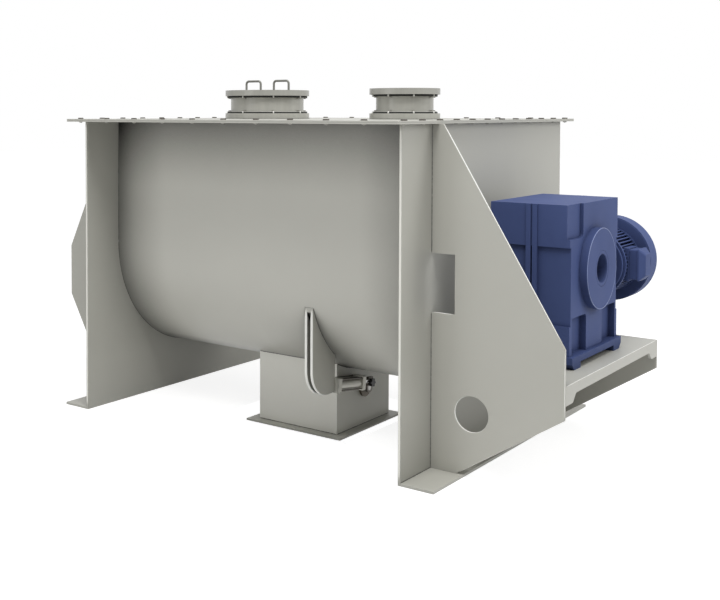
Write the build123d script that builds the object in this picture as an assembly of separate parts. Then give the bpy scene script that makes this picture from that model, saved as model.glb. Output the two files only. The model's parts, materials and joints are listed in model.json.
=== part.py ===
# Horizontal ribbon mixer: a welded trough on two end plates, a bolted lid with two
# nozzles, a bottom outlet with an air-driven flap, and a gear motor on a side platform.
# X runs along the shaft, Y away from the working side, Z up. Sizes are in millimetres.
# While the parts are made, X is 0 at the drive end plate and Z is 0 under the feet.
import math
import os
from build123d import *

os.makedirs("parts", exist_ok=True)

# Frame of the machine
body_length = 1854.0       # outside to outside of the end plates
body_height = 1500.0       # floor to the underside of the trough rim
end_half_width = 844.0
end_plate_t = 12.0
foot_width = 153.0
foot_t = 12.0
shaft_height = 860.0
seat_gap = 0.3             # between pieces that rest against each other

# Trough
trough_radius = 605.0      # inside
trough_t = 8.0
rim_t = 6.0
rim_side_overhang = 97.0
rim_end_overhang = 35.0

# Lid
lid_gasket_t = 2.0
lid_t = 6.0
lid_bolt_r = 5.0
lid_head_across = 26.0
lid_head_h = 6.0
lid_nut_across = 17.0
lid_nut_h = 8.0
lid_bolt_tail = 10.0       # below the nut
lid_bolt_inset = 81.0
lid_bolts_long = 11
lid_bolts_short = 12
hole_clear = 1.0           # radial, round a bolt

# Manhole, on the lid towards the idle end
manhole_x = -1308.0
manhole_neck_r = 198.0
manhole_flange_r = 228.0
# Inlet, on the lid towards the drive end
inlet_x = -461.0
inlet_neck_r = 141.0
inlet_flange_r = 173.5
# Shared by both nozzles
neck_t = 6.0
pad_t = 29.0               # ring welded on the lid
nozzle_gasket_t = 6.0
collar_t = 4.0             # flat collar at each end of a neck
collar_w = 17.0
neck_h = 81.0              # over both collars
cover_t = 30.0
nozzle_bolts_n = 8
nozzle_bolt_r = 4.0
nozzle_bolt_across = 13.0
nozzle_head_h = 5.3
nozzle_bolt_grip = 18.0    # depth in the cover or the pad
handle_span = 98.0
handle_h = 52.0
handle_rod_r = 6.0
handle_pitch = 187.0
handle_bend_r = 16.0

# Gussets and platform at the drive end
gusset_plane = 583.0       # outer face of a gusset, from the middle
gusset_t = 10.0
gusset_reach = 591.0
gusset_top = 52.0
gusset_upper = 605.0       # height of the gusset's upper corner
gusset_lower = 321.0
gusset_toe = 121.0
lightening_hole_x = 190.0
lightening_hole_z = 277.0
lightening_hole_r = 77.0
window_w = 110.0
window_low = 689.0
window_high = 945.0
platform_top = 456.0
platform_t = 12.0
skirt_depth = 44.0
skirt_tab_depth = 79.0
skirt_tab_w = 110.0
skirt_bend_r = 16.0
# Gussets at the idle end
idle_reach = 387.0
idle_upper = 803.0
idle_lower = 534.0
idle_toe = 85.0

# Outlet
outlet_x = -927.0
outlet_box_x = 476.0
outlet_box_y = 510.0
outlet_wall = 6.0
outlet_drop = 62.0         # the outlet's underside lies this far below the feet
outlet_flange_w = 50.0
outlet_flange_t = 10.0
throat_x = 404.0           # clear size of the flap's duct
throat_y = 232.0
throat_t = 5.0
throat_low = 10.0
flap_drop = 720.0          # flap shaft below the rotor's axis
flap_edge_gap = 2.0
flap_t = 8.0
flap_shaft_r = 15.0
flap_swing = 80.0
run_clear = 0.05           # radial, of a running fit
bush_r = 50.0
bush_t = 14.0
lever_arm = 40.0
lever_t = 12.0
lever_rim = 8.0            # round the crank pin
lever_pin_r = 6.0
slot_clear = 1.2

# Flap drive, beside the outlet box
drive_x = -643.0           # plane of the cylinder and of its bracket
cheek_t = 5.0
cheek_gap = 36.0
cheek_front = 570.0
cheek_top_drop = 229.0     # top edge below the rotor's axis
cheek_low_drop = 660.0     # bottom edge below the rotor's axis
cheek_bend_r = 130.0
cheek_back = 380.0
cheek_cap_h = 22.0
cylinder_tilt = 8.0        # degrees, rod end down
cylinder_tail = -372.0     # rear face, along the cylinder from the flap shaft
cylinder_side = 72.0
cap_len = 28.0
barrel_len = 196.0
barrel_r = 31.0
bore_r = 27.0
tie_rod_r = 4.0
tie_rod_inset = 9.0
rod_r = 10.0
piston_t = 24.0
eye_len = 46.0
eye_t = 12.0
eye_h = 46.0
pin_end = 4.0              # of the crank pin, beyond the eye
knob_r = 22.0
knob_t = 14.0
knob_lobes = 6
knob_lobe_r = 6.0

# Rotor
shaft_r = 61.7
shaft_end_idle = 110.0     # beyond the idle end plate
shaft_end_drive = 380.0    # beyond the drive end plate
end_hole_r = 72.0
outer_ribbon_r = 597.0
outer_ribbon_w = 67.0
inner_ribbon_r = 355.0
inner_ribbon_w = 55.0
ribbon_t = 8.0
ribbon_end_gap = 14.0
arm_r = 20.0
arm_inset = 45.0
bearing_r = 150.0
bearing_hub_r = 105.0
bearing_nose_r = 97.0
bearing_t = 24.0
bearing_hub_len = 78.0

# Gearbox
gear_back = 135.0          # nearest to the trough
gear_front = 494.0
gear_half = 290.0
gear_top = 1155.0
gear_recess = 12.0
corner_pocket_depth = 14.0
gear_upper_low = 973.0
gear_lower_top = 637.0
gear_wall = 25.0
gear_foot_front = 512.0
gear_foot_half = 300.0
gear_foot_h = 54.0
gear_foot_chamfer = 24.0
gear_foot_notch = 205.0
gear_foot_notch_h = 26.0
corner_pocket_y = 150.0
corner_pocket_z = 147.0
lower_pocket_in = 97.0
lower_pocket_out = 262.0
lower_pocket_top = 671.0
lower_pocket_depth = 28.0
pocket_corner_r = 18.0
rib_w = 22.0
rib_gap = 7.0
rib_x = 325.0
rib_out = 6.0
boss_r = 180.0
boss_len = 34.0
boss_fillet = 5.0
hollow_r_in = 62.0
hollow_r_out = 80.0
hollow_tail = 7.0          # behind the housing
edge_chamfer = 3.0

# Motor, on the gearbox's far face
motor_x = 335.0
motor_z = 824.0
adapter_r = 118.0
adapter_rim_r = 150.0
adapter_len = 110.0
adapter_rim_t = 16.0
frame_r = 130.0
frame_len = 215.0
fin_out_r = 162.0
fin_t = 5.0
fin_count = 32
fin_root = 2.0             # how deep a fin is sunk in the motor's tube
shield_t = 16.0
cowl_r = 209.0
cowl_t = 3.0
cowl_len = 92.0
cowl_overlap = 14.0
grille_rings = 7
grille_bar = 7.0
grille_inner_r = 34.0
grille_spokes = 6
motor_shaft_r = 19.0
fan_r = 150.0
fan_hub_r = 40.0
fan_len = 40.0
fan_blades = 8
fan_plate_t = 4.0
box_wide = 112.0
box_high = 152.0
box_out = 232.0            # terminal box face from the motor's axis
box_start = 45.0           # from the start of the motor frame
box_lid_t = 16.0
box_chamfer = 14.0
box_lip = 4.0              # of the terminal box's lid beyond its body
box_seat_margin = 6.0      # cleared of fins round the box's seat
box_seat_root = 20.0       # how deep the seat is sunk in the motor's tube
box_seat_cut = 10.0

# Worked out from the sizes above
idle_outer = -body_length
idle_inner = idle_outer + end_plate_t
drive_inner = -end_plate_t
mid_x = (idle_inner + drive_inner) / 2
trough_outer = trough_radius + trough_t
rim_top = body_height + rim_t
lid_low = rim_top + lid_gasket_t
lid_top = lid_low + lid_t
rim_half = end_half_width + rim_side_overhang
rim_x0 = idle_outer - rim_end_overhang
rim_x1 = rim_end_overhang
outlet_low = -outlet_drop
flap_z = shaft_height - flap_drop
cheek_top = shaft_height - cheek_top_drop
cheek_low = shaft_height - cheek_low_drop
machine_left = idle_outer - idle_reach
machine_right = gusset_reach
shift = Pos(-(machine_left + machine_right) / 2, 0, outlet_drop)


def save(solid, name):
    """Move a finished piece into the machine's own frame and write it."""
    export_step(shift * solid, f"parts/{name}.step")


def block(x0, x1, y0, y1, z0, z1):
    """A box from its two corners."""
    centre = Pos((x0 + x1) / 2, (y0 + y1) / 2, (z0 + z1) / 2)
    return centre * Box(x1 - x0, y1 - y0, z1 - z0)


def rod_x(x0, x1, radius, y=0.0, z=shaft_height):
    """A round bar along X."""
    return Pos((x0 + x1) / 2, y, z) * Rot(0, 90, 0) * Cylinder(radius, x1 - x0)


def rod_y(y0, y1, radius, x, z):
    """A round bar along Y."""
    return Pos(x, (y0 + y1) / 2, z) * Rot(90, 0, 0) * Cylinder(radius, y1 - y0)


def rod_z(z0, z1, radius, x, y):
    """A round bar along Z."""
    return Pos(x, y, (z0 + z1) / 2) * Cylinder(radius, z1 - z0)


def hex_z(z0, z1, across, x, y):
    """A hexagon prism along Z, for a bolt head or a nut."""
    outline = RegularPolygon(across / 2, 6, major_radius=False)
    return Pos(x, y, z0) * extrude(outline, z1 - z0)


def plate_xz(points, y0, y1, cut=None):
    """A plate cut to an outline in X and Z, from y0 to y1."""
    face = make_face(Polyline(*points, close=True))
    if cut is not None:
        face = face - cut
    return Pos(0, y1, 0) * (Plane.XZ * extrude(face, y1 - y0))


def plate_yz(face, x0, x1):
    """A plate from a face in Y and Z, from x0 to x1."""
    return Pos(x0, 0, 0) * (Plane.YZ * extrude(face, x1 - x0))


def ring_places(radius, count, x):
    """Bolt places round a circle about the middle plane."""
    angles = [2 * math.pi * i / count for i in range(count)]
    return [(x + radius * math.cos(a), radius * math.sin(a)) for a in angles]


def spread(low, high, count):
    """Evenly spaced values from low to high."""
    return [low + (high - low) * i / (count - 1) for i in range(count)]


def drill(solid, places, radius, z0, z1):
    """Drill the same upright hole at each place."""
    for x, y in places:
        solid = solid - rod_z(z0 - 1, z1 + 1, radius, x, y)
    return solid


def as_group(solids):
    """Keep equal pieces as separate solids in one part."""
    return Compound(children=list(solids))


# Trough, end plates and feet
def u_face(radius):
    """The trough's U section, as a face in Y and Z."""
    round_part = Pos(0, shaft_height) * Circle(radius)
    wall_h = body_height - shaft_height
    straight_part = Pos(0, shaft_height + wall_h / 2) * Rectangle(2 * radius, wall_h)
    below = Pos(0, shaft_height - radius) * Rectangle(4 * radius, 2 * radius)
    return (round_part & below) + straight_part


def make_trough():
    shell = plate_yz(u_face(trough_outer) - u_face(trough_radius), idle_inner, drive_inner)
    mouth = block(outlet_x - throat_x / 2, outlet_x + throat_x / 2,
                  -throat_y / 2, throat_y / 2, 0, shaft_height - trough_radius / 2)
    return shell - mouth


def make_end_plate(x0):
    plate = block(x0, x0 + end_plate_t, -end_half_width, end_half_width, 0, body_height)
    plate = plate - rod_x(x0 - 1, x0 + end_plate_t + 1, end_hole_r)
    return plate


def make_rim():
    rim = block(rim_x0, rim_x1, -rim_half, rim_half, body_height, rim_top)
    mouth = block(idle_inner, drive_inner, -trough_radius, trough_radius, body_height - 1, rim_top + 1)
    return drill(rim - mouth, lid_places(), lid_bolt_r + hole_clear, body_height, rim_top)


def lid_places():
    """Lid bolts in rows along all four edges, each corner once."""
    edge_y = rim_half - lid_bolt_inset
    x0 = rim_x0 + rim_end_overhang / 2
    x1 = rim_x1 - rim_end_overhang / 2
    rows = [(x, side * edge_y) for x in spread(x0, x1, lid_bolts_long) for side in (-1, 1)]
    ends = [(x, y) for y in spread(-edge_y, edge_y, lid_bolts_short)[1:-1] for x in (x0, x1)]
    return rows + ends


def lid_mouths(z0, z1):
    """The two round openings of the lid, as solids to cut away."""
    manhole = rod_z(z0, z1, manhole_neck_r - neck_t, manhole_x, 0)
    inlet = rod_z(z0, z1, inlet_neck_r - neck_t, inlet_x, 0)
    return manhole + inlet


def make_lid():
    lid = block(rim_x0, rim_x1, -rim_half, rim_half, lid_low, lid_top)
    lid = lid - lid_mouths(lid_low - 1, lid_top + 1)
    return drill(lid, lid_places(), lid_bolt_r + hole_clear, lid_low, lid_top)


def make_lid_gasket():
    sheet = block(rim_x0, rim_x1, -rim_half, rim_half, rim_top, lid_low)
    mouth = block(idle_inner, drive_inner, -trough_radius, trough_radius, rim_top - 1, lid_low + 1)
    return drill(sheet - mouth, lid_places(), lid_bolt_r + hole_clear, rim_top, lid_low)


def make_lid_bolts():
    """Bolts with flat heads on the lid and small nuts under the rim."""
    nut_low = body_height - lid_nut_h
    return as_group(rod_z(nut_low - lid_bolt_tail, lid_top, lid_bolt_r, x, y)
                    + hex_z(lid_top, lid_top + lid_head_h, lid_head_across, x, y)
                    + hex_z(nut_low, body_height, lid_nut_across, x, y)
                    for x, y in lid_places())


# Nozzles on the lid: a welded pad, a neck with a thin collar at each end, and a cover
pad_top = lid_top + pad_t
neck_low = pad_top + nozzle_gasket_t
neck_top = neck_low + neck_h
cover_low = neck_top + nozzle_gasket_t
cover_top = cover_low + cover_t


def nozzle_places(x, neck_r):
    return ring_places(neck_r + collar_w / 2, nozzle_bolts_n, x)


def ring_z(z0, z1, outer, inner, x):
    return rod_z(z0, z1, outer, x, 0) - rod_z(z0 - 1, z1 + 1, inner, x, 0)


def make_pad(x, neck_r, flange_r):
    """The thick ring on the lid, with blind holes for the neck's bolts."""
    pad = ring_z(lid_top, pad_top, flange_r, neck_r - neck_t, x)
    return drill(pad, nozzle_places(x, neck_r), nozzle_bolt_r + seat_gap, pad_top - nozzle_bolt_grip, pad_top)


def make_neck(x, neck_r):
    """A neck with a collar at each end, turned in one piece."""
    bore = neck_r - neck_t
    collar_r = neck_r + collar_w
    outline = [(bore, neck_low), (collar_r, neck_low), (collar_r, neck_low + collar_t),
               (neck_r, neck_low + collar_t), (neck_r, neck_top - collar_t),
               (collar_r, neck_top - collar_t), (collar_r, neck_top), (bore, neck_top)]
    section = Plane.XZ * make_face(Polyline(*outline, close=True))
    neck = Pos(x, 0, 0) * revolve(section, Axis.Z)
    return drill(neck, nozzle_places(x, neck_r), nozzle_bolt_r + seat_gap, neck_low, neck_top)


def make_nozzle_gaskets(x, neck_r):
    """One ring under the neck and one on top of it."""
    rings = []
    for z0, z1 in ((pad_top, neck_low), (neck_top, cover_low)):
        ring = ring_z(z0, z1, neck_r + collar_w, neck_r - neck_t, x)
        rings.append(drill(ring, nozzle_places(x, neck_r), nozzle_bolt_r + seat_gap, z0, z1))
    return as_group(rings)


def make_cover(x, neck_r, flange_r):
    """A thick blind cover with blind holes for the bolts from below."""
    cover = rod_z(cover_low, cover_top, flange_r, x, 0)
    grip_top = cover_low + nozzle_bolt_grip
    return drill(cover, nozzle_places(x, neck_r), nozzle_bolt_r + hole_clear, cover_low, grip_top)


def make_cover_bolts(x, neck_r):
    """Bolts from below, which stay in the neck when the cover lifts."""
    high = neck_top - collar_t
    return as_group(rod_z(high, cover_low + nozzle_bolt_grip, nozzle_bolt_r, px, py)
                    + hex_z(high - nozzle_head_h, high, nozzle_bolt_across, px, py)
                    for px, py in nozzle_places(x, neck_r))


def make_base_bolts(x, neck_r):
    """Bolts from above that hold the neck down on its pad."""
    low = neck_low + collar_t
    return as_group(rod_z(pad_top - nozzle_bolt_grip, low, nozzle_bolt_r, px, py)
                    + hex_z(low, low + nozzle_head_h, nozzle_bolt_across, px, py)
                    for px, py in nozzle_places(x, neck_r))


def make_handle(x):
    """A bar bent to a U, standing on the cover."""
    half = handle_span / 2
    top = cover_top + handle_h
    path = FilletPolyline((x - half, 0, cover_top), (x - half, 0, top), (x + half, 0, top),
                          (x + half, 0, cover_top), radius=handle_bend_r)
    start = Plane(origin=(x - half, 0, cover_top), z_dir=(0, 0, 1))
    return sweep(start * Circle(handle_rod_r), path=path)


# Gussets, platform and feet
def drive_outline(top_only_to=None):
    """Outline of a drive end gusset in X and Z, whole or only up to a height."""
    lower = [(0, foot_t), (gusset_toe, foot_t), (gusset_reach, gusset_lower)]
    if top_only_to is not None:
        return lower + [(gusset_reach, top_only_to), (0, top_only_to)]
    return lower + [(gusset_reach, gusset_upper), (gusset_top, body_height), (0, body_height)]


def make_near_gusset():
    hole = Pos(lightening_hole_x, lightening_hole_z) * Circle(lightening_hole_r)
    window = Pos(window_w / 2, (window_low + window_high) / 2) * Rectangle(window_w, window_high - window_low)
    return plate_xz(drive_outline(), -gusset_plane, -gusset_plane + gusset_t, cut=hole + window)


def make_far_gusset():
    return plate_xz(drive_outline(platform_top), gusset_plane - gusset_t, gusset_plane)


def make_idle_gussets():
    outline = [(0, foot_t), (-idle_toe, foot_t), (-idle_reach, idle_lower), (-idle_reach, idle_upper),
               (-gusset_top, body_height), (0, body_height)]
    outline = [(idle_outer + x, z) for x, z in outline]
    near = plate_xz(outline, -gusset_plane, -gusset_plane + gusset_t)
    far = plate_xz(outline, gusset_plane - gusset_t, gusset_plane)
    return as_group([near, far])


def make_platform():
    """A deck between the gussets with a folded front edge, cut away between two tabs."""
    half = gusset_plane - gusset_t - seat_gap
    deck = block(0, gusset_reach - platform_t, -half, half, platform_top - platform_t, platform_top)
    tab_in = half - skirt_tab_w
    low = platform_top - skirt_tab_depth
    shelf = platform_top - skirt_depth
    ramp = skirt_tab_depth - skirt_depth
    front = [(-half, platform_top), (-half, low), (-tab_in - ramp, low), (-tab_in, shelf),
             (tab_in, shelf), (tab_in + ramp, low), (half, low), (half, platform_top)]
    face = make_face(Polyline(*front, close=True))
    bends = face.vertices().filter_by(lambda v: abs(v.Y - platform_top) > 1 and abs(v.X) < half - 1)
    face = fillet(bends, skirt_bend_r)
    skirt = plate_yz(face, gusset_reach - platform_t, gusset_reach)
    return deck + skirt


# Outlet and flap
box_x0 = outlet_x - outlet_box_x / 2
box_x1 = outlet_x + outlet_box_x / 2
flap_half = throat_y / 2 - flap_edge_gap


def under_trough(solid):
    """Trim a piece to lie just outside the trough."""
    return solid - rod_x(idle_outer, 0, trough_outer + seat_gap)


def shaft_hole(x0, x1, radius):
    return rod_x(x0, x1, radius, 0, flap_z)


def make_outlet_box():
    box_y = outlet_box_y / 2
    walls = block(box_x0, box_x1, -box_y, box_y, outlet_low + outlet_flange_t, shaft_height - trough_radius / 2)
    inside = block(box_x0 + outlet_wall, box_x1 - outlet_wall, -box_y + outlet_wall, box_y - outlet_wall,
                   outlet_low - 1, shaft_height)
    return under_trough(walls - inside) - shaft_hole(box_x0 - 1, box_x1 + 1, flap_shaft_r + hole_clear)


def make_outlet_flange():
    box_y = outlet_box_y / 2
    w = outlet_flange_w
    plate = block(box_x0 - w, box_x1 + w, -box_y - w, box_y + w, outlet_low, outlet_low + outlet_flange_t)
    return plate - block(box_x0 + outlet_wall, box_x1 - outlet_wall, -box_y + outlet_wall,
                         box_y - outlet_wall, outlet_low - 1, outlet_low + outlet_flange_t + 1)


def make_throat():
    """The duct that the flap turns in, hung from the trough and held by the box's end walls."""
    half_x = throat_x / 2 + throat_t
    half_y = throat_y / 2 + throat_t
    walls = block(outlet_x - half_x, outlet_x + half_x, -half_y, half_y, throat_low, shaft_height - trough_radius / 2)
    inside = block(outlet_x - throat_x / 2, outlet_x + throat_x / 2, -throat_y / 2, throat_y / 2, 0, shaft_height)
    return under_trough(walls - inside) - shaft_hole(box_x0, box_x1, flap_shaft_r + hole_clear)


def make_flap_blade():
    half_x = throat_x / 2 - flap_edge_gap
    blade = block(outlet_x - half_x, outlet_x + half_x, -flap_half, flap_half,
                  flap_z - flap_t / 2, flap_z + flap_t / 2)
    sleeve = rod_x(outlet_x - half_x, outlet_x + half_x, flap_shaft_r + flap_t, 0, flap_z)
    return blade + sleeve - shaft_hole(box_x0, box_x1, flap_shaft_r + seat_gap)


def make_bushes():
    def bush(x0):
        ring = rod_x(x0, x0 + bush_t, bush_r, 0, flap_z)
        return ring - shaft_hole(x0 - 1, x0 + bush_t + 1, flap_shaft_r + run_clear)
    return as_group([bush(box_x0 - bush_t), bush(box_x1)])


# The flap drive lies in a frame turned about the flap shaft: Y along the cylinder, Z from
# the shaft's middle, X from the drive's own plane.
flap_frame = Pos(drive_x, 0, flap_z) * Rot(-cylinder_tilt, 0, 0)
half_swing = math.radians(flap_swing / 2)
cylinder_up = lever_arm * (1 + math.cos(half_swing)) / 2
pin_y = -lever_arm * math.sin(half_swing)
pin_up = lever_arm * math.cos(half_swing)
lever_x1 = -rod_r - 1      # the crank clears the rod
lever_x0 = lever_x1 - lever_t


def make_flap_shaft():
    return rod_x(box_x0 - bush_t, drive_x + lever_x1, flap_shaft_r, 0, flap_z)


def make_lever():
    """A crank on the flap shaft with a pin that works in the rod's eye."""
    hub = Circle(flap_shaft_r + lever_t)
    tip = Pos(0, lever_arm) * Circle(lever_pin_r + lever_rim)
    web = make_hull(hub.edges() + tip.edges())
    crank = plate_yz(Rot(0, 0, flap_swing / 2) * web, lever_x0, lever_x1)
    crank = crank - rod_x(lever_x0 - 1, lever_x1 + 1, flap_shaft_r + seat_gap, 0, 0)
    return flap_frame * (crank + rod_x(lever_x1, eye_t / 2 + pin_end, lever_pin_r, pin_y, pin_up))


def make_rod_eye():
    """The rod's end, with an upright slot that lets the crank pin rise and fall."""
    eye = block(-eye_t / 2, eye_t / 2, pin_y - eye_len / 2, pin_y + eye_len / 2,
                cylinder_up - eye_h / 2, cylinder_up + eye_h / 2)
    rise = lever_arm * (1 - math.cos(half_swing))
    slot_w = 2 * (lever_pin_r + slot_clear)
    slot = Pos(pin_y, cylinder_up) * SlotOverall(rise + slot_w, slot_w, rotation=90)
    return flap_frame * (eye - plate_yz(slot, -eye_t, eye_t))


barrel_y0 = cylinder_tail + cap_len
barrel_y1 = barrel_y0 + barrel_len
cap_y1 = barrel_y1 + cap_len


def make_cylinder_caps():
    half = cylinder_side / 2

    def cap(y0):
        body = block(-half, half, y0, y0 + cap_len, cylinder_up - half, cylinder_up + half)
        return chamfer(body.edges().filter_by(Axis.Y), tie_rod_r)
    front = cap(barrel_y1) - rod_y(barrel_y1 - 1, cap_y1 + 1, rod_r + run_clear, 0, cylinder_up)
    return as_group([flap_frame * cap(cylinder_tail), flap_frame * front])


def make_barrel():
    tube = rod_y(barrel_y0, barrel_y1, barrel_r, 0, cylinder_up)
    return flap_frame * (tube - rod_y(barrel_y0 - 1, barrel_y1 + 1, bore_r, 0, cylinder_up))


def make_tie_rods():
    off = cylinder_side / 2 - tie_rod_inset
    return as_group(flap_frame * rod_y(barrel_y0, barrel_y1, tie_rod_r, a * off, cylinder_up + b * off)
                    for a in (-1, 1) for b in (-1, 1))


def make_piston_rod():
    piston_y0 = barrel_y0 + tie_rod_r
    piston = rod_y(piston_y0, piston_y0 + piston_t, bore_r - run_clear, 0, cylinder_up)
    return flap_frame * (piston + rod_y(piston_y0, pin_y - eye_len / 2, rod_r, 0, cylinder_up))


def make_mount():
    """A wedge between the bracket's upright back and the cylinder's slanting rear face."""
    half = cylinder_side / 2
    reach = cheek_back
    slanted = flap_frame * block(-half, half, -2 * reach, cylinder_tail, cylinder_up - half, cylinder_up + half)
    return slanted & block(drive_x - half, drive_x + half, -cheek_back, 0, 0, 2 * reach)


def cheek_face():
    """Outline of the bracket in Y and Z: straight in front, following the trough behind."""
    front = -cheek_front
    back = -cheek_back
    outline = [(front, cheek_top), (front, cheek_low), (back, cheek_low), (back, shaft_height), (front, shaft_height)]
    face = make_face(Polyline(*outline, close=True))
    corner = face.vertices().filter_by(lambda v: abs(v.X - front) < 1 and abs(v.Y - cheek_low) < 1)
    face = fillet(corner, cheek_bend_r)
    keep = Pos((front + back) / 2, (cheek_low + cheek_top) / 2) * Rectangle(back - front + 2, cheek_top - cheek_low)
    return (face & keep) - Pos(0, shaft_height) * Circle(trough_outer + seat_gap)


def make_cheeks():
    half = cheek_gap / 2 + cheek_t
    face = cheek_face()
    left = plate_yz(face, drive_x - half, drive_x - half + cheek_t)
    right = plate_yz(face, drive_x + half - cheek_t, drive_x + half)
    return as_group([left, right])


def make_cheek_cap():
    face = cheek_face()
    top = Pos(-cheek_front, cheek_top - cheek_cap_h / 2) * Rectangle(cheek_front, cheek_cap_h)
    return plate_yz(face & top, drive_x - cheek_gap / 2, drive_x + cheek_gap / 2)


def make_knob():
    """A star knob on the crank pin's end."""
    reach = knob_r - knob_lobe_r
    disc = Circle(reach)
    for i in range(knob_lobes):
        a = math.radians(360 * i / knob_lobes)
        disc = disc + Pos(reach * math.cos(a), reach * math.sin(a)) * Circle(knob_lobe_r)
    x0 = eye_t / 2 + pin_end + seat_gap
    return flap_frame * plate_yz(Pos(pin_y, pin_up) * disc, x0, x0 + knob_t)


# Rotor
ribbon_x0 = idle_inner + ribbon_end_gap
ribbon_x1 = drive_inner - ribbon_end_gap


def arm_stations():
    """Places and turns of the five pairs of arms along the shaft."""
    xs = spread(ribbon_x0 + arm_inset, ribbon_x1 - arm_inset, 5)
    return [(x, 90 * (i % 2)) for i, x in enumerate(xs)]


def make_ribbon(radius, width, hand, towards_drive):
    """Two flat ribbons in one half of the trough, wound half a turn round the shaft."""
    half_len = mid_x - ribbon_x0
    pitch = 2 * (half_len - arm_inset)
    path = Helix(pitch=pitch, height=half_len - 2 * ribbon_t, radius=radius - width / 2, lefthand=hand < 0)
    start = Plane(origin=path @ 0, z_dir=path % 0, x_dir=(1, 0, 0))
    strip = sweep(start * Rectangle(width, ribbon_t), path=path, is_frenet=True)
    lead = 360 * (arm_inset - ribbon_t) / pitch
    strip = Pos(0, 0, ribbon_t) * Rot(0, 0, -hand * lead) * strip
    end_x = ribbon_x1 if towards_drive else ribbon_x0
    facing = Rot(0, -90, 0) if towards_drive else Rot(0, 90, 0)
    return [Pos(end_x, 0, shaft_height) * facing * Rot(0, 0, turn) * strip for turn in (0, 180)]


def arm_bar(x, turn, inner, outer, radius):
    """One pair of opposite arms as two round bars."""
    bars = []
    for way in (0, 180):
        bar = Pos(0, 0, (inner + outer) / 2) * Cylinder(radius, outer - inner)
        bars.append(Pos(x, 0, shaft_height) * Rot(turn + way, 0, 0) * bar)
    return bars


def make_arms():
    bars = []
    for x, turn in arm_stations():
        outer = math.sqrt((outer_ribbon_r - outer_ribbon_w) ** 2 - arm_r ** 2) - seat_gap
        bars += arm_bar(x, turn, shaft_r + seat_gap, outer, arm_r)
    return as_group(bars)


def make_inner_ribbon(towards_drive):
    solids = make_ribbon(inner_ribbon_r, inner_ribbon_w, -1, towards_drive)
    for x, turn in arm_stations():
        for bar in arm_bar(x, turn, shaft_r, outer_ribbon_r, arm_r + seat_gap):
            solids = [solid - bar for solid in solids]
    return as_group(solids)


def make_shaft():
    shaft = rod_x(idle_outer - shaft_end_idle, shaft_end_drive, shaft_r)
    return chamfer(shaft.edges().filter_by(GeomType.CIRCLE), edge_chamfer)


def make_bearing(x0, way):
    """A round flanged bearing housing against an end plate."""
    outline = [(shaft_r + run_clear, 0), (bearing_r, 0), (bearing_r, bearing_t), (bearing_hub_r, bearing_t),
               (bearing_nose_r, bearing_hub_len), (shaft_r + run_clear, bearing_hub_len)]
    section = Plane.XZ * make_face(Polyline(*outline, close=True))
    return Pos(x0, 0, shaft_height) * Rot(0, way * 90, 0) * revolve(section, Axis.Z)


# Gearbox
pocket_x = gear_front - corner_pocket_depth


def make_gearbox():
    """A cast housing: upper and lower blocks, recessed sides, split ribs, pockets and a foot."""
    foot_top = platform_top + gear_foot_h
    inner = gear_half - gear_recess
    body = block(gear_back, gear_front, -inner, inner, foot_top, gear_top)
    body = body + block(gear_back, gear_front, -gear_half, gear_half, gear_upper_low, gear_top)
    body = body + block(gear_back, gear_front, -gear_half, gear_half, foot_top, gear_lower_top)
    for side in (-1, 1):
        for way in (-1, 1):
            x = rib_x + way * (rib_w + rib_gap) / 2
            y0, y1 = sorted((side * (inner - 1), side * (gear_half + rib_out)))
            body = body + block(x - rib_w / 2, x + rib_w / 2, y0, y1, foot_top, gear_top)
    body = body + rod_y(inner - 1, gear_half + rib_out, adapter_rim_r, motor_x, motor_z)
    body = body + rod_x(gear_front, gear_front + boss_len, boss_r)
    rim = body.edges().filter_by(GeomType.CIRCLE).sort_by(Axis.X)[-1]
    body = fillet(rim, boss_fillet)
    corner = block(pocket_x, gear_front + 1, -gear_half - 1, -gear_half + corner_pocket_y,
                   gear_top - corner_pocket_z, gear_top + 1)
    body = body - fillet(corner.edges().filter_by(Axis.X).sort_by(Axis.Y)[-2:].sort_by(Axis.Z)[0], pocket_corner_r)
    for side in (-1, 1):
        y0, y1 = sorted((side * lower_pocket_in, side * lower_pocket_out))
        pocket = block(gear_front - lower_pocket_depth, gear_front + 1, y0, y1, foot_top, lower_pocket_top)
        inner_edge = pocket.edges().filter_by(Axis.X).group_by(Axis.Z)[-1].sort_by(lambda e: abs(e.center().Y))[0]
        body = body - fillet(inner_edge, pocket_corner_r)
    foot = block(gear_back, gear_foot_front, -gear_foot_half, gear_foot_half, platform_top, foot_top)
    foot = chamfer(foot.edges().filter_by(Axis.X).group_by(Axis.Z)[0], gear_foot_chamfer)
    foot = foot - block(gear_back - 1, gear_foot_front + 1, -gear_foot_notch, gear_foot_notch,
                        platform_top - 1, platform_top + gear_foot_notch_h)
    body = body + foot
    body = body - rod_x(gear_back - 1, gear_front + boss_len + 1, hollow_r_out + run_clear)
    w = gear_wall
    return body - block(gear_back + w, gear_front - lower_pocket_depth - w, -inner + w, inner - w,
                        foot_top + w, gear_top - w)


def make_hollow_shaft():
    tube = rod_x(gear_back - hollow_tail, gear_front + boss_len, hollow_r_out)
    tube = tube - rod_x(gear_back - hollow_tail - 1, gear_front + boss_len + 1, hollow_r_in)
    mouth = tube.edges().filter_by(GeomType.CIRCLE).group_by(Axis.X)[-1].sort_by(lambda e: e.radius)[0]
    return chamfer(mouth, edge_chamfer)


# Motor
frame_y0 = gear_half + rib_out + adapter_len
frame_y1 = frame_y0 + frame_len
shield_y1 = frame_y1 + shield_t
cowl_y0 = shield_y1 - cowl_overlap
cowl_y1 = cowl_y0 + cowl_len


def motor_disc(y0, y1, radius):
    return rod_y(y0, y1, radius, motor_x, motor_z)


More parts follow.
